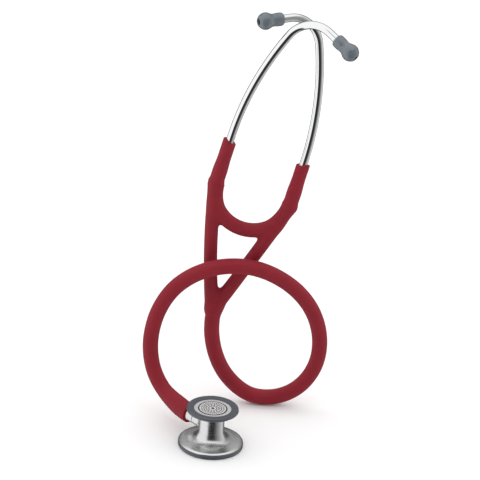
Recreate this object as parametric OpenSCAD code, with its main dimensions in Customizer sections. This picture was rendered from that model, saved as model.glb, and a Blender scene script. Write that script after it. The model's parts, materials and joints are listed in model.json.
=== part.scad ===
// Double-sided cardiology stethoscope, standing on its chestpiece and on the
// foot of its hose loop. Origin: centre of the chestpiece, on the floor.

/* [Chestpiece] */
// Outer diameter of the large rim
large_rim_d = 44; // [42:0.5:46]
// Outer diameter of the small rim
small_rim_d = 35; // [33:0.5:37]
// Overall height of the chestpiece
chest_h = 28.1; // [27.5:0.1:31]
// Diameter of the neck between the two sides
neck_d = 17; // [15:0.5:18]
// Diameter of the opening in the small rim
small_window_d = 25.2; // [22:0.2:27]

/* [Stem] */
// Height of the stem's axis above the floor
stem_z = 14; // [13:0.5:15]
// Direction of the stem seen from above, in degrees from +X
stem_turn = 135; // [135:1:135]
// Diameter of the stem where it shows
stem_d = 9.5; // [8:0.1:10]
// Distance from the chestpiece's axis to the end of the hose
stem_reach = 21.5; // [21:0.5:22]

/* [Hose and yoke] */
// Outer diameter of the hose
hose_d = 10.7; // [9:0.1:11]
// Diameter of the hose's bore
hose_bore = 4.6; // [3.6:0.2:5]
// Diameter of the swollen hose end at the stem
hose_end_d = 13; // [12:0.5:14]
// Half the distance between the two sleeves
sleeve_x = 26.25; // [24:0.05:28]
// Height of the sleeves' foot above the headset's origin
sleeve_z = 100; // [96:1:104]
// Length of the left sleeve
left_sleeve_h = 33.5; // [30:0.5:36]
// Length of the right sleeve
right_sleeve_h = 31; // [30:0.5:36]
// How far the whole headset leans to the right, in degrees
head_lean = 14.5; // [14.5:0.5:14.5]

/* [Ear tubes] */
// Outer diameter of an ear tube
ear_tube_d = 5.4; // [5:0.1:5.4]
// Bore of an ear tube
ear_tube_bore = 3.8; // [3:0.1:4]
// Radius of the long, gentle bend
long_bend_r = 215; // [200:5:230]
// Angle of the long bend
long_bend = 21.5; // [18:0.5:24]
// Radius of the hook at the top
hook_r = 20; // [19:0.5:22]
// Angle of the left and of the right hook
left_hook = 85.5; // [80:0.5:92]
right_hook = 91.5; // [80:0.5:92]
// How far each hook is turned to the wearer's front
left_hook_turn = 28; // [15:1:30]
right_hook_turn = 24; // [15:1:30]

/* [Ear tips] */
// Diameter of the bulb
bulb_d = 11.4; // [10:0.2:12]
// Diameter of the collar
collar_d = 8.9; // [8.4:0.1:9.2]
// Overall length of an ear tip
tip_l = 17.8; // [17:0.1:19]

/* [Hidden] */
$fn = 64;

// Clearances: running fit, and between soft pieces on different bodies
run_gap = 0.05;
soft_gap = 0.4;

// Chestpiece levels, from the floor up
rim_h = 2.9;
small_rim_h = 2;
lip_h = 0.7;
diaphragm_t = 0.3;
diaphragm_gap = 0.1;
large_travel = 0.4;
small_travel = 0.3;
rim_wall = 1.8;
large_window_d = 37.8;
spigot_z = lip_h + 2 * diaphragm_gap + diaphragm_t + large_travel;
top_spigot_z = chest_h - (lip_h + 2 * diaphragm_gap + diaphragm_t + small_travel);
large_r = large_rim_d / 2;
small_r = small_rim_d / 2;
neck_r = neck_d / 2;
bell_foot_z = 5;
bell_fillet = 8.2;
top_fillet = 1.2;
small_diaphragm_z = chest_h - lip_h - diaphragm_gap - diaphragm_t;
face_r = 9;
face_ring_w = 0.9;
face_t = 0.15;
cup_depth = 1.6;
top_cup_depth = 0.8;
air_bore = 3;

// Stem levels, measured along the stem from the chestpiece's axis
pin_d = 6.4;
pin_end = -5;
detent_at = 2.4;
oring_at = 5.4;
shoulder_at = neck_r + 0.1;
oring_floor_r = 2;
barb_l = 9;
barb_seat = 5;
barb_seat_d = 5;
ball_d = 2.4;
groove_depth = 0.5;
ball_from_axis = pin_d / 2 - groove_depth + ball_d / 2 + 0.03;
plug_d = 2.5;
plug_at = 7;
plug_l = 1;
stem_axis = [cos(stem_turn), sin(stem_turn), 0];

// Headset: local X runs to the right and local Z up along the headset's own axis
head_at = [-8.46, 62, 60.81];
head_axis = [sin(head_lean), 0, cos(head_lean)];
head_front_lean = 6.5;
head_side_lean = -1.15;
stem_foot = [1.7, 0, 8];
leg_foot_z = 12;
leg_r = 4.8;
leg_bow = 1.45;
web_r = 5;
airway_d = 3.6;
spring_r = 22.6;
spring_t = 0.6;
spring_w = 4;
spring_half_angle = 74;
sleeve_foot_r = 5.1;
sleeve_top_r = 4.6;
swell_h = 14;
swell_end_h = 19;
tube_foot_z = 14;
left_bend_start = 38.5;
right_bend_start = 34;
tube_barb_d = 5.8;
tube_barb_l = 6;
tip_at = 6;
tube_in_tip = 9;
insert_d = 6.8;
insert_l = 5;
nose_bore = 4.2;

// Centre of the hose, from the stem, over the top and round to the yoke
route = [[-15.2, 15.2, 14], [-20, 20.5, 14.3], [-26.3, 27.5, 15.8], [-35.2, 36, 20.4],
         [-42.7, 41.5, 31.4], [-45.9, 44, 44.5], [-46, 44.5, 58], [-42.3, 45, 75], [-33.3, 45.5, 91.6],
         [-20.3, 46, 103.1], [-5.6, 47, 109.5], [8.5, 48, 111.5], [22, 49.5, 110.2], [36.1, 51.5, 104.8],
         [50.5, 55, 94.4], [61.6, 58.5, 80.8], [68.5, 62, 65.1], [71.2, 64, 49], [69.4, 65, 32.7],
         [61.7, 65, 18.1], [50.1, 65, 8.7], [37.5, 64.5, 5.5], [24.9, 64.5, 6.6], [13.9, 64, 13.9],
         [4.6, 63.5, 24.8], [-1.9, 63, 39], [-4.9, 62.4, 53.1], [-5.2, 62, 62.1]];

// The route ends square on the yoke's foot
hose_route = concat(route, [head_at + stem_foot.z * head_axis
                            + stem_foot.x * [head_axis.z, 0, -head_axis.x]]);

// Catmull-Rom curve through a list of points, each stretch cut into a number of steps
function at(list, i) = list[max(0, min(len(list) - 1, i))];
function curve_point(list, i, t) =
    let (a = at(list, i - 1), b = at(list, i), c = at(list, i + 1), d = at(list, i + 2))
    0.5 * (2 * b + (c - a) * t + (2 * a - 5 * b + 4 * c - d) * t * t + (3 * b - a - 3 * c + d) * t * t * t);
function curve(list, steps) =
    concat([for (i = [0 : len(list) - 2]) for (k = [0 : steps - 1]) curve_point(list, i, k / steps)],
           [list[len(list) - 1]]);
function unit(v) = v / norm(v);
function heading(path, i) =
    i == 0 ? stem_axis : i == len(path) - 1 ? head_axis : unit(path[i + 1] - path[i - 1]);

// Sideways directions carried along the path without twist
function sideways(path, i = 0, last = [0, 0, 1]) =
    let (t = heading(path, i), side = unit(last - (last * t) * t))
    i == len(path) - 1 ? [side] : concat([side], sideways(path, i + 1, side));
function ring(centre, along, side, radius, sides) =
    let (across = cross(along, side))
    [for (k = [0 : sides - 1]) let (a = 360 * k / sides)
        centre + radius * (cos(a) * side + sin(a) * across)];

// Faces between the rings of a tube, seen from outside or from inside, and of its two flat ends
function wall(rings, sides, first, seen_from_inside) =
    [for (i = [0 : rings - 2]) for (k = [0 : sides - 1])
        let (n = (k + 1) % sides, a = first + i * sides + k, b = first + i * sides + n)
        seen_from_inside ? [a, b, b + sides, a + sides] : [a, a + sides, b + sides, b]];
function end_face(outer, inner, sides, flip) =
    [for (k = [0 : sides - 1]) let (n = (k + 1) % sides)
        flip ? [outer + k, inner + k, inner + n, outer + n] : [outer + n, inner + n, inner + k, outer + k]];

hose_sides = 12;
hose_path = curve(hose_route, 2);

// Swollen over the first rings, then the plain hose
flare = [1, 1, 1, 0.95, 0.8, 0.4, 0.1];
function hose_r(i) = hose_d / 2 + (hose_end_d - hose_d) / 2 * (i < len(flare) ? flare[i] : 0);

// Places its children with +Z along the stem, pointing at the hose
module on_stem(along = 0) {
    translate([0, 0, stem_z])
    rotate([0, 0, stem_turn])
    rotate([0, 90, 0])
    translate([0, 0, along])
    children();
}

// Hole for the detent, level and square to the stem, towards the back
module on_detent(from_axis = 0) {
    on_stem(detent_at)
    rotate([90, 0, 0])
    translate([0, 0, from_axis])
    children();
}

// Points of an arc from one angle to another
function arc(centre, radius, from, to, steps = 12) =
    [for (k = [0 : steps]) let (a = from + (to - from) * k / steps) centre + radius * [cos(a), sin(a)]];

// Turned steel body: a wide bell below, a neck and a small cup above
module chest_body() {
    edge_r = large_r - 0.5;
    spigot_r = large_r - rim_wall;
    top_edge_r = small_r - 1.3;
    top_spigot_r = small_r - rim_wall;
    top_z = chest_h - small_rim_h;
    bell_centre = [neck_r + bell_fillet, bell_foot_z + bell_fillet];
    top_centre = [neck_r + top_fillet, top_z - 1.4 - top_fillet];
    color("silver")
    difference() {
        rotate_extrude($fn = 128)
        polygon(concat([[0, spigot_z], [spigot_r, spigot_z], [spigot_r, rim_h], [edge_r, rim_h]],
                       [[edge_r, rim_h + 0.4], [edge_r - 1.2, rim_h + 1.1]],
                       arc(bell_centre, bell_fillet, 270, 180),
                       arc(top_centre, top_fillet, 180, 90),
                       [[top_edge_r - 1, top_z - 1.4], [top_edge_r, top_z - 0.6], [top_edge_r, top_z],
                        [top_spigot_r, top_z],
                        [top_spigot_r, top_spigot_z], [0, top_spigot_z]]));
        translate([0, 0, spigot_z - 1])
        cylinder(r1 = spigot_r - 2, r2 = spigot_r - 6, h = 1 + cup_depth);
        translate([0, 0, top_spigot_z - top_cup_depth])
        cylinder(r1 = top_spigot_r - 6, r2 = top_spigot_r - 2, h = top_cup_depth + 1);
        cylinder(d = air_bore, h = chest_h);
        on_stem(pin_end - 0.3) cylinder(d = pin_d + 2 * run_gap, h = 2 * neck_r);
        on_stem(shoulder_at - 0.1) cylinder(d = stem_d + 4 * run_gap, h = neck_r);
        on_detent() cylinder(d = plug_d, h = neck_r);
    }
}

// Snap-on rim, drawn with its lip downward: the lip holds the diaphragm
module rim(outer_r, lip_r, height) {
    spigot_r = outer_r - rim_wall;
    round_r = 0.8;
    rotate_extrude($fn = 128)
    polygon(concat([[spigot_r, height], [spigot_r, lip_h], [lip_r, lip_h],
                    [lip_r, 0.25], [lip_r + 0.25, 0]],
                   arc([outer_r - round_r, round_r], round_r, 270, 360, 6),
                   arc([outer_r - 0.5, height - 0.5], 0.5, 0, 90, 4)));
}
module large_rim() {
    color("dimgray") rim(large_r, large_window_d / 2, rim_h);
}
module small_rim() {
    color("dimgray")
    translate([0, 0, chest_h])
    mirror([0, 0, 1])
    rim(small_r, small_window_d / 2, small_rim_h);
}

module large_diaphragm() {
    color("whitesmoke")
    translate([0, 0, lip_h + diaphragm_gap])
    cylinder(r = large_r - rim_wall - soft_gap, h = diaphragm_t, $fn = 128);
}
module small_diaphragm() {
    color("lightgray")
    translate([0, 0, small_diaphragm_z])
    cylinder(r = small_r - rim_wall - soft_gap, h = diaphragm_t, $fn = 128);
}
module face_disc() {
    color("gainsboro")
    translate([0, 0, small_diaphragm_z + diaphragm_t])
    cylinder(r = face_r, h = face_t, $fn = 96);
}
module face_ring() {
    color("black")
    translate([0, 0, small_diaphragm_z + diaphragm_t])
    rotate_extrude($fn = 96)
    translate([face_r, 0]) square([face_ring_w, face_t]);
}

module detent_ball() {
    color("gray") on_detent(ball_from_axis) sphere(d = ball_d);
}
module detent_spring() {
    coils = 4;
    wire_r = 0.25;
    pitch = 0.42;
    color("gray")
    on_detent(ball_from_axis + ball_d / 2 + wire_r)
    for (k = [0 : coils - 1])
        translate([0, 0, k * pitch]) rotate_extrude() translate([0.8, 0]) circle(r = wire_r, $fn = 16);
}
module detent_plug() {
    color("silver") on_detent(plug_at) cylinder(d = plug_d, h = plug_l);
}

// Steel stem: a pin that turns in the neck, a shoulder that shows, and a side port
module stem() {
    color("silver")
    difference() {
        union() {
            on_stem(pin_end) cylinder(d = pin_d, h = shoulder_at - pin_end);
            on_stem(shoulder_at) cylinder(d = stem_d, h = stem_reach - shoulder_at);
        }
        on_stem(-air_bore / 2) cylinder(d = air_bore, h = stem_reach + air_bore);
        translate([0, 0, stem_z - pin_d]) cylinder(d = air_bore, h = pin_d);
        on_stem(detent_at) stem_groove(pin_d / 2 - groove_depth, ball_d + 0.4);
        on_stem(oring_at) stem_groove(oring_floor_r, 1.4);
        on_stem(stem_reach - barb_seat) cylinder(d = barb_seat_d, h = barb_seat + 1);
    }
}
module stem_groove(floor_r, width) {
    rotate_extrude() translate([floor_r, -width / 2]) square([pin_d, width]);
}
module stem_oring() {
    color("black") on_stem(oring_at) rotate_extrude() translate([2.5, 0]) circle(r = 0.45, $fn = 24);
}

// Barb that the hose is pushed on, seated in the stem's end
module stem_barb() {
    color("silver")
    difference() {
        union() {
            on_stem(stem_reach - barb_seat) cylinder(d = barb_seat_d, h = barb_seat);
            for (k = [0 : 2])
                on_stem(stem_reach + k * barb_l / 3)
                cylinder(d1 = hose_bore + 0.8, d2 = hose_bore, h = barb_l / 3);
        }
        on_stem(stem_reach - barb_seat - 1) cylinder(d = air_bore, h = barb_seat + barb_l + 2);
    }
}

module hose() {
    sides = sideways(hose_path);
    n = len(hose_path);
    outer = [for (i = [0 : n - 1])
        each ring(hose_path[i], heading(hose_path, i), sides[i], hose_r(i), hose_sides)];
    inner = [for (i = [0 : n - 1])
        each ring(hose_path[i], heading(hose_path, i), sides[i], hose_bore / 2, hose_sides)];
    inner_start = n * hose_sides;
    color("firebrick")
    polyhedron(points = concat(outer, inner),
               faces = concat(wall(n, hose_sides, 0, false), wall(n, hose_sides, inner_start, true),
                              end_face(0, inner_start, hose_sides, false),
                              end_face(inner_start - hose_sides, 2 * inner_start - hose_sides,
                                       hose_sides, true)));
}

// Headset frame: local X to the right, local Z up along the headset's leaning axis
module in_headset() {
    translate(head_at) rotate([0, head_lean, 0]) children();
}

// Frame of one ear tube, at the pivot in its sleeve's foot: local +X is inward on both sides
module on_sleeve(side) {
    in_headset()
    translate([side * sleeve_x, 0, sleeve_z])
    rotate([-side * head_front_lean, head_side_lean, 0])
    if (side > 0) mirror([1, 0, 0]) children(); else children();
}

// One leg of the Y, from its foot to the sleeve's pivot, bowed outward
module leg(side, radius) {
    rise = sleeve_z - leg_foot_z;
    half_span = norm([sleeve_x, rise]) / 2;
    bow_r = (half_span * half_span / leg_bow + leg_bow) / 2;
    half_bow = asin(half_span / bow_r);
    mirror([side > 0 ? 1 : 0, 0, 0])
    translate([0, 0, leg_foot_z])
    rotate([0, -atan2(sleeve_x, rise) - half_bow, 0])
    bend(bow_r, 2 * half_bow)
    circle(r = radius);
}

// Arc in the headset's plane, hanging below the sleeves, open by the same angle on both sides
module web_arc(half_angle) {
    translate([0, 0, sleeve_z + 1])
    rotate([90, 0, 0])
    rotate_extrude(start = 270 - half_angle, angle = 2 * half_angle, $fn = 128)
    children();
}

// Round hollow in the yoke for the sleeve's foot
module cup(radius) {
    rotate_extrude() polygon(concat([[0, radius]], arc([0, 0], radius, 90, -90, 24)));
}

// Moulded Y: a foot, two legs and the U web, with the airway, the spring's bed and two cups
module yoke() {
    color("firebrick")
    difference() {
        in_headset() {
            translate(stem_foot) cylinder(d = hose_d, h = leg_foot_z - stem_foot.z + 2);
            translate([0, 0, leg_foot_z]) sphere(r = leg_r + 0.1);
            for (side = [-1, 1]) leg(side, leg_r);
            web_arc(90) translate([sleeve_x, 0]) circle(r = web_r);
        }
        in_headset() {
            translate(stem_foot - [0, 0, 1]) cylinder(d = hose_bore, h = leg_foot_z - stem_foot.z + 2);
            translate(stem_foot - [0, 0, leg_r]) cylinder(r = 2 * leg_r, h = leg_r);
            for (side = [-1, 1]) {
                leg(side, airway_d / 2);
                translate([side * sleeve_x, 0, sleeve_z]) cup(sleeve_foot_r + soft_gap);
            }
        }
        spring_strip();
    }
}
module spring_strip() {
    in_headset()
    web_arc(spring_half_angle)
    translate([spring_r - spring_t / 2, -spring_w / 2]) square([spring_t, spring_w]);
}
module leaf_spring() {
    color("lightsteelblue") spring_strip();
}

// Upper end of the moulding, swollen over the spring, with a foot that turns in the yoke's cup
function sleeve_h(side) = side < 0 ? left_sleeve_h : right_sleeve_h;
module sleeve(side) {
    color("firebrick")
    difference() {
        on_sleeve(side)
        rotate_extrude()
        polygon(concat([[0, sleeve_h(side)], [0, -sleeve_foot_r]], arc([0, 0], sleeve_foot_r, -90, -6, 12),
                       [[sleeve_foot_r, swell_h], [sleeve_top_r, swell_end_h],
                        [sleeve_top_r, sleeve_h(side)]]));
        on_sleeve(side) {
            translate([0, 0, -sleeve_foot_r - 1]) cylinder(d = airway_d, h = sleeve_foot_r + left_sleeve_h);
            translate([0, 0, tube_foot_z]) cylinder(d = ear_tube_d, h = left_sleeve_h);
            translate([0, 0, tube_foot_z]) cylinder(d = tube_barb_d, h = tube_barb_l);
        }
        tab(side);
    }
}
module tab(side) {
    on_sleeve(side)
    translate([sleeve_x - spring_r - spring_t / 2, -spring_w / 2, 3])
    cube([spring_t, spring_w, 21]);
}
module tube_barb(side) {
    color("silver")
    on_sleeve(side)
    translate([0, 0, tube_foot_z])
    difference() {
        cylinder(d = tube_barb_d, h = tube_barb_l);
        translate([0, 0, -1]) cylinder(d = ear_tube_d, h = tube_barb_l + 2);
    }
}

// A bent stretch that starts at the origin along +Z and turns towards +X, and the frame at its end
module bend(radius, angle) {
    translate([radius, 0, 0])
    rotate([90, 0, 0])
    rotate_extrude(start = 180 - angle, angle = angle, $fn = 96)
    translate([radius, 0])
    children();
}
module after_bend(radius, angle) {
    translate([radius * (1 - cos(angle)), 0, radius * sin(angle)]) rotate([0, angle, 0]) children();
}
function bend_start(side) = side < 0 ? left_bend_start : right_bend_start;
function hook(side) = side < 0 ? left_hook : right_hook;
function hook_turn(side) = side < 0 ? left_hook_turn : right_hook_turn;
module at_hook(side) {
    translate([0, 0, bend_start(side)])
    after_bend(long_bend_r, long_bend)
    rotate([0, 0, -hook_turn(side)])
    children();
}
module at_tube_end(side, along = 0) {
    at_hook(side) after_bend(hook_r, hook(side)) translate([0, 0, along]) children();
}

// The tube's four stretches, with a bead a hair wider than the tube over each seam
module tube_seam(diameter) {
    translate([0, 0, -0.5]) cylinder(d = diameter + 0.1, h = 1);
}
module tube_run(side, diameter, spare) {
    translate([0, 0, tube_foot_z - spare])
    cylinder(d = diameter, h = bend_start(side) - tube_foot_z + spare);
    translate([0, 0, bend_start(side)]) {
        tube_seam(diameter);
        bend(long_bend_r, long_bend) circle(d = diameter);
    }
    at_hook(side) {
        tube_seam(diameter);
        bend(hook_r, hook(side)) circle(d = diameter);
    }
    at_tube_end(side) {
        tube_seam(diameter);
        cylinder(d = diameter, h = tip_at + tube_in_tip + spare);
    }
}
module ear_tube(side) {
    color("gainsboro")
    on_sleeve(side)
    difference() {
        tube_run(side, ear_tube_d, 0);
        tube_run(side, ear_tube_bore, 1);
    }
}

// Hard ring that grips the tube inside the soft tip
module tip_insert(side) {
    color("dimgray")
    on_sleeve(side)
    at_tube_end(side, tip_at + 2)
    difference() {
        cylinder(d = insert_d, h = insert_l);
        translate([0, 0, -1]) cylinder(d = ear_tube_d + 2 * run_gap, h = insert_l + 2);
    }
}

// Soft tip: rounded collar, waist, bulb with a flat nose
module ear_tip(side) {
    bulb_r = bulb_d / 2;
    collar_r = collar_d / 2;
    bulb_z = tip_l - 5.1;
    color("slategray")
    on_sleeve(side)
    at_tube_end(side, tip_at)
    difference() {
        union() {
            intersection() {
                translate([0, 0, bulb_z]) sphere(r = bulb_r);
                cylinder(r = bulb_d, h = tip_l);
            }
            rotate_extrude()
            polygon(concat([[0, 0]], arc([collar_r - 1.2, 1.2], 1.2, 270, 360, 6),
                           arc([collar_r - 1.2, 5.2], 1.2, 0, 60, 4),
                           [[collar_r - 0.3, 7.6], [collar_r - 0.3, bulb_z], [0, bulb_z]]));
        }
        translate([0, 0, -1]) cylinder(d = ear_tube_d + 2 * run_gap, h = tube_in_tip + 1.3);
        translate([0, 0, 2]) cylinder(d = insert_d, h = insert_l);
        cylinder(d = nose_bore, h = tip_l + 1);
    }
}

chest_body();
large_rim();
large_diaphragm();
small_rim();
small_diaphragm();
face_disc();
face_ring();
detent_ball();
detent_spring();
detent_plug();
stem();
stem_barb();
stem_oring();
hose();
yoke();
leaf_spring();
sleeve(-1);  // left_sleeve
color("lightsteelblue") tab(-1);  // left_spring_tab
tube_barb(-1);  // left_tube_barb
ear_tube(-1);  // left_ear_tube
tip_insert(-1);  // left_tip_insert
ear_tip(-1);  // left_ear_tip
sleeve(1);  // right_sleeve
color("lightsteelblue") tab(1);  // right_spring_tab
tube_barb(1);  // right_tube_barb
ear_tube(1);  // right_ear_tube
tip_insert(1);  // right_tip_insert
ear_tip(1);  // right_ear_tip
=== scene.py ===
"""Looks of a double-sided cardiology stethoscope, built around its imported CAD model."""
import json
import math

import bmesh
import bpy
import numpy as np
from mathutils import Matrix, Vector

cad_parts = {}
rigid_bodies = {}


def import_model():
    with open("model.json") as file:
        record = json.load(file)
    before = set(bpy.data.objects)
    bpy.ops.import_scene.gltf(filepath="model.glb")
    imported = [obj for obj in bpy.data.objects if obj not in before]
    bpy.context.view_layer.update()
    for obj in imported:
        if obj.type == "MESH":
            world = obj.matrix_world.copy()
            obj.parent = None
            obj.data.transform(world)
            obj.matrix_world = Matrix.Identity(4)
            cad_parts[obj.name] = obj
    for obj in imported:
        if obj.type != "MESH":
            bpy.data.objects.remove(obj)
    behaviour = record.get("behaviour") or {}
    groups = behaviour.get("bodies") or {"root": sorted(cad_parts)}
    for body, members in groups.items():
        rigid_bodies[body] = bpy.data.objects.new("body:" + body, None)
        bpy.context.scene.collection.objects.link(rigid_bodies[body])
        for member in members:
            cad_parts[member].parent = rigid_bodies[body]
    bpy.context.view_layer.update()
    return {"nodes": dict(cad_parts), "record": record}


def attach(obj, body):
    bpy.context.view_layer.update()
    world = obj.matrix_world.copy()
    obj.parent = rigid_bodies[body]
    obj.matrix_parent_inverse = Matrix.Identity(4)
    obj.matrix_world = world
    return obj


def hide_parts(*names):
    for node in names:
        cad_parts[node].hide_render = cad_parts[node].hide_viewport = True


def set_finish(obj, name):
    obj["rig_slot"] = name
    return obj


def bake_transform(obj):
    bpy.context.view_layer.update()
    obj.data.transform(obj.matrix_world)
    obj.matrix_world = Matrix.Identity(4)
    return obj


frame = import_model()
MM = 0.001


def rotation(axis, degrees):
    return Matrix.Rotation(math.radians(degrees), 4, axis)


# ---------------------------------------------------------------- camera
CAMERA_AT = (0.01035, -1.01836, 0.56153)
CAMERA_DOWN, CAMERA_ROLL, HALF_VIEW = 22, 4, 8   # degrees
SENSOR_WIDTH = 36


def make_camera():
    """Looks along +Y and a little down, slightly rolled."""
    pitch, roll = math.radians(CAMERA_DOWN), math.radians(CAMERA_ROLL)
    look = Vector((0, math.cos(pitch), -math.sin(pitch)))
    level_right = Vector((1, 0, 0))
    level_up = Vector((0, math.sin(pitch), math.cos(pitch)))
    right = math.cos(roll) * level_right + math.sin(roll) * level_up
    up = -math.sin(roll) * level_right + math.cos(roll) * level_up
    data = bpy.data.cameras.new("camera")
    data.sensor_width = SENSOR_WIDTH
    data.lens = SENSOR_WIDTH / 2 / math.tan(math.radians(HALF_VIEW))
    data.clip_start, data.clip_end = 0.05, 50
    camera = bpy.data.objects.new("camera", data)
    bpy.context.scene.collection.objects.link(camera)
    camera.matrix_world = (Matrix.Translation(CAMERA_AT)
                           @ Matrix((right, up, -look)).transposed().to_4x4())
    bpy.context.scene.camera = camera


make_camera()


# ---------------------------------------------------------------- mesh helpers
def make_object(name, points, faces, sharp_over=50, normals=None):
    """points in metres in the row frame. Edges sharper than sharp_over degrees stay crisp."""
    mesh = bpy.data.meshes.new(name)
    mesh.from_pydata([tuple(p) for p in points], [], [tuple(f) for f in faces])
    mesh.validate()
    mesh.polygons.foreach_set("use_smooth", [True] * len(mesh.polygons))
    if normals is None:
        mesh.set_sharp_from_angle(angle=math.radians(sharp_over))
    else:
        mesh.normals_split_custom_set(normals)
    obj = bpy.data.objects.new(name, mesh)
    bpy.context.scene.collection.objects.link(obj)
    return obj


def loft(rings):
    """Joins closed rings of equal count, in order, and closes both ends with a point."""
    count = len(rings[0])
    points = [p for ring in rings for p in ring]
    faces = []
    for i in range(len(rings) - 1):
        a, b = i * count, (i + 1) * count
        for k in range(count):
            n = (k + 1) % count
            faces.append((a + k, a + n, b + n, b + k))
    for ring, flip in ((0, True), (len(rings) - 1, False)):
        centre = len(points)
        points.append(np.mean(rings[ring], axis=0))
        start = ring * count
        for k in range(count):
            n = (k + 1) % count
            faces.append((start + n, start + k, centre) if flip else (start + k, start + n, centre))
    return points, faces


class Path:
    """A polyline with arc length and a frame carried along it without twist."""

    def __init__(self, points, start=None, end=None):
        self.points = np.array(points, float)
        steps = np.linalg.norm(np.diff(self.points, axis=0), axis=1)
        self.at = np.concatenate(([0], np.cumsum(steps)))
        self.length = self.at[-1]
        along = np.gradient(self.points, self.at, axis=0)
        if start is not None:
            along[0] = start
        if end is not None:
            along[-1] = end
        self.along = along / np.linalg.norm(along, axis=1)[:, None]
        side = np.array((0, 0, 1.0)) if abs(self.along[0][2]) < 0.9 else np.array((0, 1.0, 0))
        self.side = []
        for t in self.along:
            side = side - (side @ t) * t
            side = side / np.linalg.norm(side)
            self.side.append(side)
        self.side = np.array(self.side)

    def sample(self, s, what):
        return np.array([np.interp(s, self.at, what[:, k]) for k in range(3)])

    def ring(self, s, radius, sides):
        centre, t, side = (self.sample(s, w) for w in (self.points, self.along, self.side))
        t = t / np.linalg.norm(t)
        side = side - (side @ t) * t
        side = side / np.linalg.norm(side)
        across = np.cross(t, side)
        turn = np.arange(sides) * 2 * math.pi / sides
        return centre + radius * (np.cos(turn)[:, None] * side + np.sin(turn)[:, None] * across)


def sweep(name, path, stations, sides, sharp_over=50):
    """stations: (distance along the path, radius) from one end to the other."""
    points, faces = loft([path.ring(s, r, sides) for s, r in stations])
    return make_object(name, points, faces, sharp_over)


def rounded(corners, steps=6):
    """Corners are (r, z, fillet) in mm. Gives the profile with each corner rounded."""
    out = []
    for i, (r, z, fillet) in enumerate(corners):
        here = np.array((r, z), float)
        if fillet <= 0 or i in (0, len(corners) - 1):
            out.append(here)
            continue
        before = np.array(corners[i - 1][:2], float) - here
        after = np.array(corners[i + 1][:2], float) - here
        before_l, after_l = np.linalg.norm(before), np.linalg.norm(after)
        before, after = before / before_l, after / after_l
        half = math.acos(max(-1, min(1, before @ after))) / 2
        reach = min(fillet / math.tan(half), before_l * 0.98, after_l * 0.98)
        radius = reach * math.tan(half)
        middle = before + after
        middle = middle / np.linalg.norm(middle)
        centre = here + middle * radius / math.sin(half)
        a, b = here + before * reach - centre, here + after * reach - centre
        sweep_angle = math.pi - 2 * half
        sign = 1 if a[0] * b[1] - a[1] * b[0] > 0 else -1
        count = max(2, int(math.ceil(steps * sweep_angle / (math.pi / 2))))
        for k in range(count + 1):
            t = sign * sweep_angle * k / count
            out.append(centre + np.array((a[0] * math.cos(t) - a[1] * math.sin(t),
                                          a[0] * math.sin(t) + a[1] * math.cos(t))))
    return out


def lathe(name, profile, place=Matrix.Identity(4), sides=96, sharp_over=50):
    """Turns an open profile of (r, z) in mm about Z, then places it. Ends on the axis close to a point."""
    place = np.array(place)
    turn = np.arange(sides) * 2 * math.pi / sides
    rings = []
    for r, z in profile:
        r = max(r, 1e-4)
        local = np.stack([r * np.cos(turn), r * np.sin(turn), np.full(sides, z)], axis=1) * MM
        rings.append(local @ place[:3, :3].T + place[:3, 3])
    points, faces = loft(rings)
    if np.linalg.det(place[:3, :3]) < 0:
        faces = [f[::-1] for f in faces]
    return make_object(name, points, faces, sharp_over)


# ---------------------------------------------------------------- hose
HOSE_D = 0.0107
HOSE_MOUTH_R = 0.0046
BARB_SWELL = 0.00115                     # radius gained over the barb
SWELL_KEPT, SWELL_FADE = 0.010, 0.022    # lengths over which the swelling holds and then fades
HEAD_AT = Vector((-0.00846, 0.062, 0.06081))
HEAD_LEAN = 14.5
STEM_FOOT = Vector((0.0017, 0, 0.008))   # where the hose meets the yoke, in the headset's frame
head = Matrix.Translation(HEAD_AT) @ rotation("Y", HEAD_LEAN)
head_axis = (head.to_3x3() @ Vector((0, 0, 1))).normalized()
STEM_AXIS = Vector((-1, 1, 0)).normalized()

# Centre of the hose, from the stem, over the top and round to the yoke, in metres
ROUTE = [(-.0152, .0152, .014), (-.02, .0205, .0143), (-.0263, .0275, .0158), (-.0352, .036, .0204),
         (-.0427, .0415, .0314), (-.0459, .044, .0445), (-.046, .0445, .058), (-.0423, .045, .075),
         (-.0333, .0455, .0916), (-.0203, .046, .1031), (-.0056, .047, .1095), (.0085, .048, .1115),
         (.022, .0495, .1102), (.0361, .0515, .1048), (.0505, .055, .0944), (.0616, .0585, .0808),
         (.0685, .062, .0651), (.0712, .064, .049), (.0694, .065, .0327), (.0617, .065, .0181),
         (.0501, .065, .0087), (.0375, .0645, .0055), (.0249, .0645, .0066), (.0139, .064, .0139),
         (.0046, .0635, .0248), (-.0019, .063, .039), (-.0049, .0624, .0531), (-.0052, .062, .0621)]


def curve_through(points, steps):
    """Catmull-Rom curve, evened out a little and with equal spacing."""
    p = np.array(points, float)
    p = np.vstack([p[0], p, p[-1]])
    out = []
    for i in range(1, len(p) - 2):
        a, b, c, d = p[i - 1:i + 3]
        for k in range(steps):
            t = k / steps
            out.append(0.5 * (2 * b + (c - a) * t + (2 * a - 5 * b + 4 * c - d) * t * t
                              + (3 * b - a - 3 * c + d) * t ** 3))
    out.append(p[-1])
    path = Path(out)
    even = np.array([path.sample(s, path.points) for s in np.linspace(0, path.length, 260)])
    for _ in range(14):
        even[3:-3] = 0.25 * even[2:-4] + 0.5 * even[3:-3] + 0.25 * even[4:-2]
    return even


hose_end = head @ STEM_FOOT
hose_line = curve_through(ROUTE + [tuple(hose_end)], 12)
hose_path = Path(hose_line, STEM_AXIS, head_axis)


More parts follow.
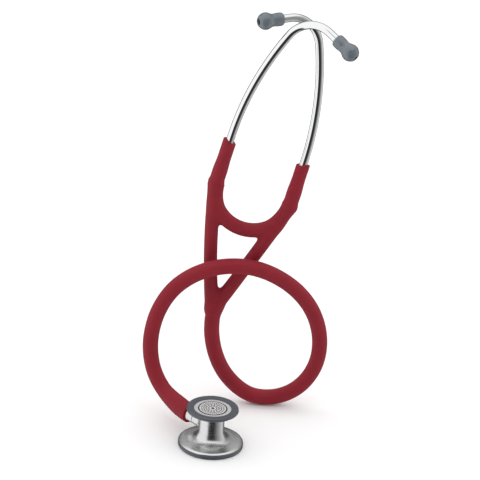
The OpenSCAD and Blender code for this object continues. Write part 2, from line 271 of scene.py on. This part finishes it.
def hose_stations():
    """Squared end, swollen over the barb, then plain to just inside the yoke's foot."""
    r, swell = HOSE_D / 2, BARB_SWELL
    stations = [(0, HOSE_MOUTH_R), (0, r + swell - 0.0007), (0.0002, r + swell - 0.0002),
                (0.0007, r + swell)]
    for s in np.linspace(0.002, 0.034, 24):
        t = min(1, max(0, (s - SWELL_KEPT) / SWELL_FADE))
        stations.append((s, r + swell * (1 - t * t * (3 - 2 * t))))
    stations += [(s, r) for s in np.linspace(0.036, hose_path.length - 0.002, 230)]
    return stations + [(hose_path.length, r - 0.0003)]


hose = sweep("hose_skin", hose_path, hose_stations(), 40)
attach(hose, "tubing")
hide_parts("hose")
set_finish(hose, "burgundy_hose")

# ---------------------------------------------------------------- yoke and sleeves: one soft moulding
SLEEVE_X, SLEEVE_Z = 26.25, 100
SLEEVE_H = {-1: 33.5, 1: 31}
FRONT_LEAN, SIDE_LEAN = 6.5, -1.0
SLEEVE_SLANT = {-1: 14, 1: -11}   # degrees: the sleeves' mouths are trimmed a little askew
SLEEVE_FOOT_R, SLEEVE_TOP_R = 5.1, 4.57
LEG_FOOT_Z, LEG_R, LEG_END_SWELL = 12, 4.6, 0.3
LEG_FOOT_X = {-1: -0.3, 1: 0.8}
LEG_BOW = {-1: 2.0, 1: 0.5}
FOOT_LOW, FOOT_MID, FOOT_TOP = (3.0, 0, 2), (1.75, 0, 7.5), (1.7, 0, 16)
FOOT_LOW_R, FOOT_MID_R, FOOT_TOP_R = 5.35, 5.37, 5.8
WEB_R, WEB_X, WEB_Z, WEB_IN = 4.95, 0.45, 101.4, 0.2
WAIST_DEPTH = {-1: 0.8, 1: 1.5}   # the legs narrow just under the sleeves
WAIST_OUT, WAIST_DOWN, WAIST_SPREAD = 2.5, 7, 60
YOKE_CUT_Z = 7
GRID_LOW, GRID_HIGH = (-34, -11, 2), (34, 11, 140)
CELL, QUICK_CELL = 0.5, 0.8


def sleeve_frame(side):
    """Row frame from the ear tube's own frame, in metres: +Z up the sleeve, +X inward on both sides."""
    inward = Matrix.Scale(-1, 4, (1, 0, 0)) if side > 0 else Matrix.Identity(4)
    return (head @ Matrix.Translation(Vector((side * SLEEVE_X, 0, SLEEVE_Z)) * MM)
            @ rotation("Y", SIDE_LEAN) @ rotation("X", -side * FRONT_LEAN) @ inward)


def soft_min(a, b, k):
    """Smaller of two distances, with the crease between them rounded over k."""
    h = np.clip(0.5 + 0.5 * (b - a) / k, 0, 1)
    return b + (a - b) * h - k * h * (1 - h)


def rod(p, a, b, ra, rb):
    """Distance to a round-ended rod from a to b whose radius goes from ra to rb."""
    a, b = np.array(a, float), np.array(b, float)
    line = b - a
    h = np.clip(((p - a) @ line) / (line @ line), 0, 1)
    return np.linalg.norm(p - a - h[..., None] * line, axis=-1) - (ra + (rb - ra) * h)


def bowed_leg(p, side):
    """One leg of the Y: an arc in the headset's plane, a little thicker at both ends."""
    x, y, z = side * p[..., 0], p[..., 1], p[..., 2]
    foot, top = np.array((side * LEG_FOOT_X[side], LEG_FOOT_Z)), np.array((SLEEVE_X, float(SLEEVE_Z)))
    half = np.linalg.norm(top - foot) / 2
    up = (top - foot) / (2 * half)
    out = np.array((up[1], -up[0]))
    radius = (half ** 2 / LEG_BOW[side] + LEG_BOW[side]) / 2
    centre = (foot + top) / 2 - out * (radius - LEG_BOW[side])
    dx, dz = x - centre[0], z - centre[1]
    limit = math.asin(half / radius)
    turn = np.clip(np.arctan2(dx * up[0] + dz * up[1], dx * out[0] + dz * out[1]), -limit, limit)
    near_x = centre[0] + radius * (np.cos(turn) * out[0] + np.sin(turn) * up[0])
    near_z = centre[1] + radius * (np.cos(turn) * out[1] + np.sin(turn) * up[1])
    thick = LEG_R + LEG_END_SWELL * (turn / limit) ** 2
    return np.sqrt((x - near_x) ** 2 + y ** 2 + (z - near_z) ** 2) - thick


def sleeve_axis(side):
    """Pivot and direction of a sleeve in the headset's frame, in mm."""
    turned = (rotation("Y", SIDE_LEAN) @ rotation("X", -side * FRONT_LEAN)).to_3x3()
    return np.array((side * SLEEVE_X, 0, SLEEVE_Z), float), np.array(turned @ Vector((0, 0, 1)))


def yoke_field(p):
    """Signed distance in mm from the moulding's surface, in the headset's frame."""
    x, y, z = p[..., 0], p[..., 1], p[..., 2]
    body = soft_min(bowed_leg(p, -1), bowed_leg(p, 1), 4.5)
    foot = soft_min(rod(p, FOOT_LOW, FOOT_MID, FOOT_LOW_R, FOOT_MID_R),
                    rod(p, FOOT_MID, FOOT_TOP, FOOT_MID_R, FOOT_TOP_R), 0.5)
    body = soft_min(body, foot, 1.5)
    radial = np.hypot(x - WEB_X, z - WEB_Z)
    hanging = np.hypot(radial - SLEEVE_X + WEB_IN, y)
    above = np.sqrt((np.abs(x) - SLEEVE_X) ** 2 + (z - WEB_Z) ** 2 + y ** 2)
    web = np.where(z < WEB_Z, hanging, above) - WEB_R
    body = soft_min(body, web, 4.0)
    for side in (-1, 1):
        pivot, axis = sleeve_axis(side)
        h = (p - pivot) @ axis
        swell = np.clip((22 - h) / 12, 0, 1)
        swell = swell * swell * (3 - 2 * swell)
        held = np.clip(h, 0, SLEEVE_H[side] + 1.5)
        sleeve = (np.linalg.norm(p - pivot - held[..., None] * axis, axis=-1)
                  - (SLEEVE_TOP_R + (SLEEVE_FOOT_R - SLEEVE_TOP_R) * swell))
        body = soft_min(body, sleeve, 1.2)
        waist = pivot + (side * WAIST_OUT, 0, -WAIST_DOWN)
        body = body + WAIST_DEPTH[side] * np.exp(-((p - waist) ** 2).sum(axis=-1) / WAIST_SPREAD)
    return body


def gradient(field, p):
    h = 0.02
    g = np.stack([field(p + d) - field(p - d) for d in np.eye(3) * h], axis=-1)
    return g / np.linalg.norm(g, axis=-1)[..., None]


def surface_of(field, low, high, step):
    """Surface nets over a grid, then each vertex is pulled onto the field's zero."""
    axes = [np.arange(a, b + step, step) for a, b in zip(low, high)]
    grid = np.stack(np.meshgrid(*axes, indexing="ij"), axis=-1)
    value = field(grid)
    size = np.array(value.shape) - 1
    corners = [(i, j, k) for i in (0, 1) for j in (0, 1) for k in (0, 1)]

    def shifted(c):
        return value[c[0]:c[0] + size[0], c[1]:c[1] + size[1], c[2]:c[2] + size[2]]

    inside = sum((shifted(c) < 0).astype(int) for c in corners)
    active = (inside > 0) & (inside < 8)
    index = np.full(active.shape, -1)
    index[active] = np.arange(active.sum())
    total, hits = np.zeros((active.sum(), 3)), np.zeros(active.sum())
    for c in corners:
        for axis in range(3):
            if c[axis]:
                continue
            d = list(c)
            d[axis] = 1
            va, vb = shifted(c)[active], shifted(d)[active]
            cross = (va < 0) != (vb < 0)
            t = np.where(cross, va / np.where(cross, va - vb, 1), 0)
            at = np.tile(np.array(c, float), (len(va), 1))
            at[:, axis] = t
            total += at * cross[:, None]
            hits += cross
    cell = np.argwhere(active)
    points = np.array(low) + (cell + total / hits[:, None]) * step
    faces = []
    for axis in range(3):
        u, v = (axis + 1) % 3, (axis + 2) % 3
        lower = [slice(1, -1)] * 3
        upper = [slice(1, -1)] * 3
        lower[axis], upper[axis] = slice(0, -1), slice(1, None)
        a, b = value[tuple(lower)] < 0, value[tuple(upper)] < 0
        for flip, found in ((False, a & ~b), (True, ~a & b)):
            at = np.argwhere(found)
            at[:, u] += 1
            at[:, v] += 1
            quad = []
            for du, dv in ((1, 1), (0, 1), (0, 0), (1, 0)):
                c = at.copy()
                c[:, u] -= du
                c[:, v] -= dv
                quad.append(index[c[:, 0], c[:, 1], c[:, 2]])
            quad = np.stack(quad[::-1] if flip else quad, axis=1)
            faces.append(quad)
    faces = np.concatenate(faces)
    for _ in range(6):
        points = points - field(points)[:, None] * gradient(field, points)
    return points, faces


def build_yoke():
    """Left and right half of the moulding, cut in the middle, at the foot and at the sleeves' mouths."""
    points, faces = surface_of(yoke_field, GRID_LOW, GRID_HIGH, CELL)
    whole = bpy.data.meshes.new("yoke_whole")
    whole.from_pydata([tuple(p) for p in points], [], [tuple(f) for f in faces])
    halves = []
    for name, side in (("left", -1), ("right", 1)):
        form = bmesh.new()
        form.from_mesh(whole)
        pivot, axis = sleeve_axis(side)
        top = pivot + axis * SLEEVE_H[side]
        slant = math.radians(SLEEVE_SLANT[side])
        cut = (axis[0] * math.cos(slant) + axis[2] * math.sin(slant), axis[1],
               axis[2] * math.cos(slant) - axis[0] * math.sin(slant))
        planes = (((0, 0, 0), (-side, 0, 0)), ((0, 0, YOKE_CUT_Z), (0, 0, -1)), (tuple(top), cut))
        for at, out in planes:
            bmesh.ops.bisect_plane(form, geom=form.verts[:] + form.edges[:] + form.faces[:], dist=1e-5,
                                   plane_co=at, plane_no=out, clear_outer=True)
            rim = [e for e in form.edges if e.is_boundary]
            filled = bmesh.ops.holes_fill(form, edges=rim)["faces"]
            for f in filled:
                f.material_index = 1
        form.normal_update()
        form.verts.index_update()
        at = np.array([v.co for v in form.verts])
        smooth = gradient(yoke_field, at)
        turn = np.array(head.to_3x3())
        loops = []
        for f in form.faces:
            cap = f.material_index == 1
            for v in f.verts:
                n = np.array(f.normal) if cap else smooth[v.index]
                loops.append(tuple(turn @ n))
            f.material_index = 0
        points_m = [head @ (v.co * MM) for v in form.verts]
        polygons = [[v.index for v in f.verts] for f in form.faces]
        made = make_object(f"{name}_yoke_skin", points_m, polygons, normals=loops)
        form.free()
        halves.append(made)
    bpy.data.meshes.remove(whole)
    return halves


yoke_halves = build_yoke()
for obj, name, side in zip(yoke_halves, ("left", "right"), (-1, 1)):
    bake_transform(obj)
    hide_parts("yoke", f"{name}_sleeve")
    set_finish(obj, "burgundy_hose")

# ---------------------------------------------------------------- ear tubes and tips
TUBE_D, TUBE_BORE = 5.4, 3.8
TUBE_FOOT_Z = 14
BEND_START = {-1: 39.3, 1: 33.2}
HOOK = {-1: 87.5, 1: 89}
HOOK_TURN = {-1: 28.5, 1: 26}
LONG_R, LONG_BEND, HOOK_R = 215, 21.5, 20
TIP_AT, TUBE_IN_TIP, TIP_L, NOSE_R = 6, 9, 17.8, 2.1
BORE_SHOWN = 12


def after_bend(radius, angle):
    turn = math.radians(angle)
    return (Matrix.Translation((radius * (1 - math.cos(turn)) * MM, 0, radius * math.sin(turn) * MM))
            @ rotation("Y", angle))


def tube_line(side):
    """Centre of an ear tube in its own frame, and the frame at the end of its hook."""
    lift = Matrix.Translation((0, 0, BEND_START[side] * MM))
    hook = lift @ after_bend(LONG_R, LONG_BEND) @ rotation("Z", -HOOK_TURN[side])
    points = [Vector((0, 0, z * MM)) for z in np.linspace(TUBE_FOOT_Z, BEND_START[side], 5)[:-1]]
    points += [(lift @ after_bend(LONG_R, a)).translation for a in np.linspace(0, LONG_BEND, 25)[:-1]]
    points += [(hook @ after_bend(HOOK_R, a)).translation for a in np.linspace(0, HOOK[side], 45)]
    end = hook @ after_bend(HOOK_R, HOOK[side])
    points += [end @ Vector((0, 0, z * MM)) for z in np.linspace(0, TIP_AT + TUBE_IN_TIP, 6)[1:]]
    return points, end


def tip_profile():
    """Soft tip from its collar's inside, over the outside, to the bore behind the nose."""
    knots = ((0.0, 3.3), (0.4, 3.9), (1.0, 4.25), (2.0, 4.42), (3.5, 4.45), (5.0, 4.38), (6.3, 4.22),
             (7.2, 4.17), (8.2, 4.3), (9.2, 4.65), (10.2, 5.1), (11.2, 5.5), (12.2, 5.68), (13.2, 5.68),
             (14.2, 5.45), (15.2, 5.02), (16.2, 4.35), (17.0, 3.6), (17.5, 2.95), (TIP_L, 2.4))
    outside = []
    for i in range(len(knots) - 1):
        a, b, c, d = (np.array(knots[max(0, min(len(knots) - 1, i + k))][::-1]) for k in (-1, 0, 1, 2))
        for t in (0, 0.33, 0.67):
            outside.append(0.5 * (2 * b + (c - a) * t + (2 * a - 5 * b + 4 * c - d) * t * t
                                  + (3 * b - a - 3 * c + d) * t ** 3))
    return ([(2.9, 0.25)] + outside
            + [(2.4, TIP_L), (NOSE_R + 0.25, TIP_L - 0.02), (NOSE_R, TIP_L - 0.3),
               (NOSE_R - 0.05, TIP_L - 1.5), (NOSE_R - 0.05, 10.4), (2.75, 10.3), (2.75, 0.6)])


for name, side in (("left", -1), ("right", 1)):
    place = sleeve_frame(side)
    tube_points, tube_end = tube_line(side)
    path = Path([tuple(place @ p) for p in tube_points])
    r, bore, length = TUBE_D / 2 * MM, TUBE_BORE / 2 * MM, path.length
    stations = [(0, r)] + [(s, r) for s in path.at[1:-1]]
    stations += [(length - 0.0002, r), (length, r - 0.0002), (length, bore + 0.00015),
                 (length - 0.00015, bore), (length - BORE_SHOWN * MM, bore)]
    tube = sweep(f"{name}_ear_tube_skin", path, stations, 48)
    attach(tube, f"{name}_binaural")
    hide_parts(f"{name}_ear_tube")
    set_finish(tube, "chrome_tube")
    tip_place = place @ tube_end @ Matrix.Translation((0, 0, TIP_AT * MM))
    tip = lathe(f"{name}_ear_tip_skin", tip_profile(), tip_place, 64, 60)
    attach(tip, f"{name}_tip")
    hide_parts(f"{name}_ear_tip")
    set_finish(tip, "grey_tip")

# ---------------------------------------------------------------- chestpiece
LARGE_R, SMALL_R, CHEST_H, RIM_H, SMALL_RIM_H = 22, 17.5, 28.1, 2.9, 2.0
LARGE_LIP_R, SMALL_LIP_R = 18.9, 12.6
NECK_R, STEM_Z = 8.5, 14
top_z = CHEST_H - SMALL_RIM_H
body_profile = rounded([(0, 1.6, 0), (19.4, 1.6, 0.2), (20.2, 2.2, 0.1), (20.2, 2.9, 0), (21.5, 2.9, 0.05),
                        (21.5, 3.35, 0.3), (20.3, 4.1, 0.7), (15.0, 5.0, 3.0), (NECK_R, 5.0, 8.2),
                        (NECK_R, top_z - 1.4, 1.2), (15.2, top_z - 1.4, 0.1), (16.2, top_z - 0.6, 0.1),
                        (16.2, top_z, 0), (15.7, top_z, 0), (15.7, 26.6, 0.2), (0, 26.6, 0)], 12)
chest = lathe("chest_body_skin", body_profile, sides=128, sharp_over=40)
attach(chest, "chestpiece")
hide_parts("chest_body")
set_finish(chest, "steel")


def rim_profile(outer_r, lip_r, height):
    """Snap-on rim with its lip downward, from inside the lip round to inside its skirt."""
    inner = outer_r - 1.75
    return rounded([(inner, 0.75, 0), (lip_r + 0.05, 0.75, 0), (lip_r, 0.35, 0.2), (lip_r + 0.5, 0.0, 0.35),
                    (outer_r - 0.15, 0.0, 0.8), (outer_r, 1.0, 0.5), (outer_r, height, 0.45),
                    (inner + 0.1, height, 0.1), (inner, height - 0.2, 0), (inner, 0.75, 0)], 6)


def ring_lathe(name, profile, place=Matrix.Identity(4), sides=128):
    """Turns a closed profile that doesn't touch the axis."""
    place = np.array(place)
    turn = np.arange(sides) * 2 * math.pi / sides
    points = []
    for r, z in profile[:-1]:
        local = np.stack([r * np.cos(turn), r * np.sin(turn), np.full(sides, z)], axis=1) * MM
        points += list(local @ place[:3, :3].T + place[:3, 3])
    count = len(profile) - 1
    faces = []
    for i in range(count):
        a, b = i * sides, (i + 1) % count * sides
        for k in range(sides):
            n = (k + 1) % sides
            faces.append((a + k, a + n, b + n, b + k))
    if np.linalg.det(place[:3, :3]) < 0:
        faces = [f[::-1] for f in faces]
    obj = make_object(name, points, faces, 45)
    form = bmesh.new()
    form.from_mesh(obj.data)
    bmesh.ops.recalc_face_normals(form, faces=form.faces[:])
    form.to_mesh(obj.data)
    form.free()
    obj.data.set_sharp_from_angle(angle=math.radians(45))
    return obj


upside_down = Matrix.Translation((0, 0, CHEST_H * MM)) @ Matrix.Scale(-1, 4, (0, 0, 1))
for name, outer_r, lip_r, height, place in (("large_rim", LARGE_R, LARGE_LIP_R, RIM_H, Matrix.Identity(4)),
                                            ("small_rim", SMALL_R, SMALL_LIP_R, SMALL_RIM_H, upside_down)):
    rim = ring_lathe(f"{name}_skin", rim_profile(outer_r, lip_r, height), place)
    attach(rim, "chestpiece")
    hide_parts(name)
    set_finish(rim, "grey_rim")

stem_place = Matrix.Translation((0, 0, STEM_Z * MM)) @ rotation("Z", 135) @ rotation("Y", 90)
stem_profile = rounded([(0, 4, 0), (3.2, 4, 0), (3.2, 8.6, 0), (4.5, 8.6, 0.2), (4.75, 9.2, 0.3),
                        (4.75, 14.2, 0.1), (4.45, 14.5, 0.1), (4.45, 15.1, 0.1), (4.75, 15.4, 0.1),
                        (4.75, 21.0, 0.3), (4.4, 21.45, 0.2), (0, 21.45, 0)], 5)
stem = lathe("stem_skin", stem_profile, stem_place, 64, 40)
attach(stem, "tubing")
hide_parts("stem")
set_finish(stem, "steel")


# ---------------------------------------------------------------- materials
class Nodes:
    """Short hand for a material's node tree."""

    def __init__(self, name):
        self.material = bpy.data.materials.new(name)
        self.material.use_nodes = True
        self.tree = self.material.node_tree
        self.shader = self.tree.nodes["Principled BSDF"]
        self.coords = self.tree.nodes.new("ShaderNodeTexCoord").outputs["Object"]

    def add(self, kind, inputs=None, **settings):
        node = self.tree.nodes.new(kind)
        for k, v in settings.items():
            setattr(node, k, v)
        for k, v in (inputs or {}).items():
            if isinstance(v, bpy.types.NodeSocket):
                self.tree.links.new(v, node.inputs[k])
            else:
                node.inputs[k].default_value = v
        return node

    def noise(self, scale, detail=3, roughness=0.55, vector=None):
        inputs = {"Vector": vector or self.coords, "Scale": scale, "Detail": detail, "Roughness": roughness}
        return self.add("ShaderNodeTexNoise", inputs).outputs["Fac"]

    def ramp(self, value, stops):
        node = self.add("ShaderNodeValToRGB", {"Fac": value})
        elements = node.color_ramp.elements
        while len(elements) < len(stops):
            elements.new(0.5)
        for e, (at, colour) in zip(elements, stops):
            e.position = at
            e.color = (*colour, 1) if len(colour) == 3 else colour
        return node.outputs["Color"]

    def math(self, operation, a, b=0.0, c=None):
        inputs = {0: a, 1: b}
        if c is not None:
            inputs[2] = c
        return self.add("ShaderNodeMath", inputs, operation=operation).outputs["Value"]

    def remap(self, value, low, high, to_low, to_high):
        inputs = {"Value": value, "From Min": low, "From Max": high, "To Min": to_low, "To Max": to_high}
        return self.add("ShaderNodeMapRange", inputs).outputs["Result"]

    def bump(self, height, strength, distance, normal=None):
        inputs = {"Height": height, "Strength": strength, "Distance": distance}
        if normal is not None:
            inputs["Normal"] = normal
        return self.add("ShaderNodeBump", inputs).outputs["Normal"]

    def set(self, **values):
        for k, v in values.items():
            socket = self.shader.inputs[k.replace("_", " ")]
            if isinstance(v, bpy.types.NodeSocket):
                self.tree.links.new(v, socket)
            else:
                socket.default_value = v
        return self.material


def hose_material():
    n = Nodes("burgundy_pvc")
    cloud = n.noise(38, 4)
    fine = n.noise(900, 3)
    colour = n.ramp(cloud, [(0.3, (0.235, 0.0145, 0.025)), (0.7, (0.272, 0.0175, 0.03))])
    rough = n.remap(n.noise(160, 3), 0.3, 0.7, 0.5, 0.6)
    normal = n.bump(fine, 0.12, 0.0002)
    return n.set(Base_Color=colour, Roughness=rough, Normal=normal, Specular_IOR_Level=0.15,
                 Subsurface_Weight=0.2, Subsurface_Radius=(1.0, 0.12, 0.12), Subsurface_Scale=0.002)


def chrome_material():
    n = Nodes("polished_chrome")
    rough = n.remap(n.noise(220, 4), 0.35, 0.7, 0.03, 0.075)
    normal = n.bump(n.noise(60, 2), 0.04, 0.0003)
    return n.set(Base_Color=(0.86, 0.865, 0.87, 1), Metallic=1.0, Roughness=rough, Normal=normal)


def turned_coords(n, across, along):
    """Distance from the Z axis and height, scaled, so that noise forms rings."""
    x, y, z = n.add("ShaderNodeSeparateXYZ", {"Vector": n.coords}).outputs
    r = n.math("SQRT", n.math("ADD", n.math("MULTIPLY", x, x), n.math("MULTIPLY", y, y)))
    inputs = {"X": n.math("MULTIPLY", r, across), "Y": n.math("MULTIPLY", z, along), "Z": 0.0}
    return n.add("ShaderNodeCombineXYZ", inputs).outputs["Vector"]


TURNING_MARKS = 5200   # marks per metre, roughly


def steel_material():
    n = Nodes("turned_steel")
    rings = n.noise(1.0, 4, 0.7, turned_coords(n, TURNING_MARKS, TURNING_MARKS))
    smudge = n.noise(90, 3)
    rough = n.remap(smudge, 0.3, 0.7, 0.2, 0.3)
    normal = n.bump(rings, 0.16, 0.00006)
    tangent = n.add("ShaderNodeTangent", direction_type="RADIAL", axis="Z").outputs["Tangent"]
    colour = n.ramp(rings, [(0.35, (0.64, 0.64, 0.64)), (0.65, (0.76, 0.76, 0.76))])
    return n.set(Base_Color=colour, Metallic=1.0, Roughness=rough, Normal=normal, Anisotropic=0.6,
                 Tangent=tangent)


def rubber_material(name, low, high, rough_low, rough_high, grain, subsurface=0.0, specular=0.5):
    n = Nodes(name)
    colour = n.ramp(n.noise(70, 4), [(0.3, low), (0.7, high)])
    rough = n.remap(n.noise(240, 3), 0.3, 0.7, rough_low, rough_high)
    normal = n.bump(n.noise(grain, 3), 0.15, 0.00015)
    return n.set(Base_Color=colour, Roughness=rough, Normal=normal, Specular_IOR_Level=specular,
                 Subsurface_Weight=subsurface, Subsurface_Radius=(0.8, 0.9, 1.0), Subsurface_Scale=0.001)


def diaphragm_material(name, low, high):
    """Resin film with a faint weave and speckle."""
    n = Nodes(name)
    speck = n.noise(1400, 2)
    colour = n.ramp(speck, [(0.32, low), (0.62, high)])
    rough = n.remap(n.noise(300, 3), 0.3, 0.7, 0.24, 0.36)
    normal = n.bump(speck, 0.1, 0.00004)
    return n.set(Base_Color=colour, Roughness=rough, Normal=normal, Metallic=0.0)


def face_material():
    """Generic print: rings of ticks and dashes on a silver ground."""
    n = Nodes("printed_face")
    x, y, _z = n.add("ShaderNodeSeparateXYZ", {"Vector": n.coords}).outputs
    r = n.math("SQRT", n.math("ADD", n.math("MULTIPLY", x, x), n.math("MULTIPLY", y, y)))
    turn = n.math("DIVIDE", n.math("ARCTAN2", y, x), 2 * math.pi)

    def band(inner, outer):
        return n.math("MULTIPLY", n.math("GREATER_THAN", r, inner * MM), n.math("LESS_THAN", r, outer * MM))

    def dashes(count, share, shift=0.0):
        place = n.math("FRACT", n.math("ADD", n.math("MULTIPLY", turn, count), shift))
        return n.math("LESS_THAN", place, share)

    ink = n.math("MULTIPLY", band(6.9, 8.1), dashes(36, 0.5))
    for inner, outer, count, share, shift in ((5.7, 6.3, 1, 2, 0), (3.6, 5.1, 14, 0.5, 0.2),
                                              (2.4, 3.0, 1, 2, 0), (0, 1.2, 1, 2, 0)):
        ink = n.math("MAXIMUM", ink, n.math("MULTIPLY", band(inner, outer), dashes(count, share, shift)))
    ground = n.ramp(n.noise(700, 2), [(0.3, (0.5, 0.5, 0.5)), (0.7, (0.62, 0.62, 0.62))])
    mixed = n.add("ShaderNodeMix", {"Factor": ink, "A": ground, "B": (0.03, 0.03, 0.032, 1)},
                  data_type="RGBA")
    colour = [o for o in mixed.outputs if o.type == "RGBA"][0]
    rough = n.remap(n.noise(260, 3), 0.3, 0.7, 0.22, 0.32)
    return n.set(Base_Color=colour, Roughness=rough)


burgundy = hose_material()
chrome = chrome_material()
steel = steel_material()
grey_rim = rubber_material("slate_rim", (0.062, 0.069, 0.081), (0.08, 0.088, 0.102), 0.3, 0.4, 1500)
grey_tip = rubber_material("slate_silicone", (0.105, 0.13, 0.155), (0.14, 0.165, 0.19), 0.24, 0.31, 1100,
                           subsurface=0.15, specular=1.0)
silver_film = diaphragm_material("silver_film", (0.4, 0.405, 0.42), (0.52, 0.525, 0.54))
resin_film = diaphragm_material("resin_film", (0.6, 0.6, 0.57), (0.75, 0.75, 0.71))
printed = face_material()
black_print = rubber_material("black_print", (0.012, 0.012, 0.013), (0.02, 0.02, 0.021), 0.25, 0.35, 900)
seal = rubber_material("seal_rubber", (0.012, 0.012, 0.012), (0.022, 0.022, 0.022), 0.5, 0.6, 1500)
moulded = rubber_material("moulded_plastic", (0.08, 0.08, 0.085), (0.11, 0.11, 0.115), 0.35, 0.5, 1200)
spring = steel.copy()
spring.name = "spring_steel"

BY_SLOT = {"steel": steel, "chrome_tube": chrome, "spring_steel": spring, "burgundy_hose": burgundy,
           "grey_rim": grey_rim, "grey_tip": grey_tip, "diaphragm": silver_film, "printed_face": printed,
           "black_print": black_print, "seal_rubber": seal, "insert_plastic": moulded}


def paint(obj, material):
    obj.data.materials.clear()
    obj.data.materials.append(material)


slots = {row["node"]: row["material_slot"] for row in frame["record"]["subparts"]}
for node, obj in frame["nodes"].items():
    for at in range(max(1, len(obj.material_slots))):
        if at < len(obj.material_slots):
            obj.material_slots[at].material = BY_SLOT[slots[node]]
        else:
            obj.data.materials.append(BY_SLOT[slots[node]])
frame["nodes"]["large_diaphragm"].material_slots[0].material = resin_film
for obj in list(bpy.context.scene.objects):
    if obj.type == "MESH" and "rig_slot" in obj:
        paint(obj, BY_SLOT[obj["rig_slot"]])


# ---------------------------------------------------------------- stage and light
def plain(name, colour, rough=0.9):
    material = bpy.data.materials.new(name)
    material.use_nodes = True
    shader = material.node_tree.nodes["Principled BSDF"]
    shader.inputs["Base Color"].default_value = (*colour, 1)
    shader.inputs["Roughness"].default_value = rough
    shader.inputs["Specular IOR Level"].default_value = 0.1
    return material


def flat_piece(name, corners, material):
    mesh = bpy.data.meshes.new(name)
    mesh.from_pydata(corners, [], [tuple(range(len(corners)))])
    obj = bpy.data.objects.new(name, mesh)
    bpy.context.scene.collection.objects.link(obj)
    mesh.materials.append(material)
    return obj


FLOOR_HALF = 8
floor_corners = [(FLOOR_HALF * x, FLOOR_HALF * y, 0) for x, y in ((-1, -1), (1, -1), (1, 1), (-1, 1))]
floor = flat_piece("floor", floor_corners, plain("white_floor", (0.86, 0.86, 0.86)))

# The steel mirrors only the studio round it, not the floor or the hose
floor.visible_glossy = False
hose.visible_glossy = False

world = bpy.data.worlds.new("studio")
bpy.context.scene.world = world
world.use_nodes = True
tree = world.node_tree
tree.nodes.clear()


def wnode(kind, inputs=None, **settings):
    node = tree.nodes.new(kind)
    for k, v in settings.items():
        setattr(node, k, v)
    for k, v in (inputs or {}).items():
        if isinstance(v, bpy.types.NodeSocket):
            tree.links.new(v, node.inputs[k])
        else:
            node.inputs[k].default_value = v
    return node


def wmath(operation, a, b=0.0):
    return wnode("ShaderNodeMath", {0: a, 1: b}, operation=operation).outputs["Value"]


def wstep(value, low, high):
    return wnode("ShaderNodeMapRange", {"Value": value, "From Min": low, "From Max": high},
                 interpolation_type="SMOOTHSTEP").outputs["Result"]


def wramp(value, stops):
    node = wnode("ShaderNodeValToRGB", {"Fac": value})
    elements = node.color_ramp.elements
    while len(elements) < len(stops):
        elements.new(0.5)
    for e, (at, grey) in zip(elements, stops):
        e.position = at
        e.color = (grey, grey, grey, 1)
    return node.outputs["Color"]


def by_compass(stops):
    """Brightness round the horizon in (degrees, brightness) stops: 0 is the front (-Y), +90 is +X."""
    return wramp(compass, [(0.5 + angle / 360, grey / 2) for angle, grey in stops])


direction = wnode("ShaderNodeTexCoord").outputs["Generated"]
dx, dy, dz = wnode("ShaderNodeSeparateXYZ", {"Vector": direction}).outputs
turn = wmath("ARCTAN2", dx, wmath("MULTIPLY", dy, -1.0))
compass = wmath("ADD", wmath("DIVIDE", turn, 2 * math.pi), 0.5)
SCREEN, DARK_FRONT, DARK_BACK = 1.08, 0.03, 0.06
GLOSS_CEILING, GLOSS_LOW_BACK, GLOSS_HIGH = 1.1, 0.34, 1.02
SOFT_SIDES, SOFT_FRONT, SOFT_CEILING, SOFT_LEVEL = 1.5, 0.6, 1.6, 0.93
BACKDROP = 1.1


def under_ceiling(horizon, ceiling, height):
    """The horizon's brightness low down, the ceiling's high up. Compass ramps hold half of theirs."""
    walls = wmath("MULTIPLY", horizon, 2.0)
    return wmath("ADD", walls, wmath("MULTIPLY", height, wmath("SUBTRACT", ceiling, walls)))


# Seen in gloss: a dark front, a wide white screen on the left, a grey ramp on the right
mirror = by_compass([(-180, DARK_BACK), (-132, 0.08), (-120, SCREEN), (-34, SCREEN), (-26, DARK_FRONT),
                     (28, DARK_FRONT), (40, 0.15), (90, 0.6), (118, 0.95), (130, 0.12), (180, DARK_BACK)])
mirror = under_ceiling(mirror, GLOSS_CEILING, wstep(dz, 0.80, 0.95))

# Higher up, the back is lit first and then everything
low_back = wmath("MULTIPLY", wstep(dy, 0.2, 0.7), wstep(dz, 0.12, 0.32))
low_back = wmath("MULTIPLY", low_back, GLOSS_LOW_BACK)
high_all = wmath("MULTIPLY", wstep(dz, 0.48, 0.8), GLOSS_HIGH)
mirror = wmath("MAXIMUM", mirror, wmath("MAXIMUM", low_back, high_all))

# Seen in diffuse light: soft and even from the sides, the back and above, weaker from the front
soft = by_compass([(-180, SOFT_SIDES), (-90, SOFT_SIDES), (-50, SOFT_FRONT), (50, SOFT_FRONT),
                   (90, SOFT_SIDES), (180, SOFT_SIDES)])
soft = wmath("MULTIPLY", under_ceiling(soft, SOFT_CEILING, wstep(dz, 0.45, 0.85)), SOFT_LEVEL)

rays = wnode("ShaderNodeLightPath")
lit = wnode("ShaderNodeMix", {"Factor": rays.outputs["Is Glossy Ray"], "A": soft, "B": mirror},
            data_type="FLOAT").outputs[0]
strength = wnode("ShaderNodeMix", {"Factor": rays.outputs["Is Camera Ray"], "A": lit, "B": BACKDROP},
                 data_type="FLOAT").outputs[0]
background = wnode("ShaderNodeBackground", {"Color": (1, 1, 1, 1), "Strength": strength})
wnode("ShaderNodeOutputWorld", {"Surface": background.outputs[0]})
world.cycles.sampling_method = "NONE"

bpy.context.scene.view_settings.view_transform = "Standard"
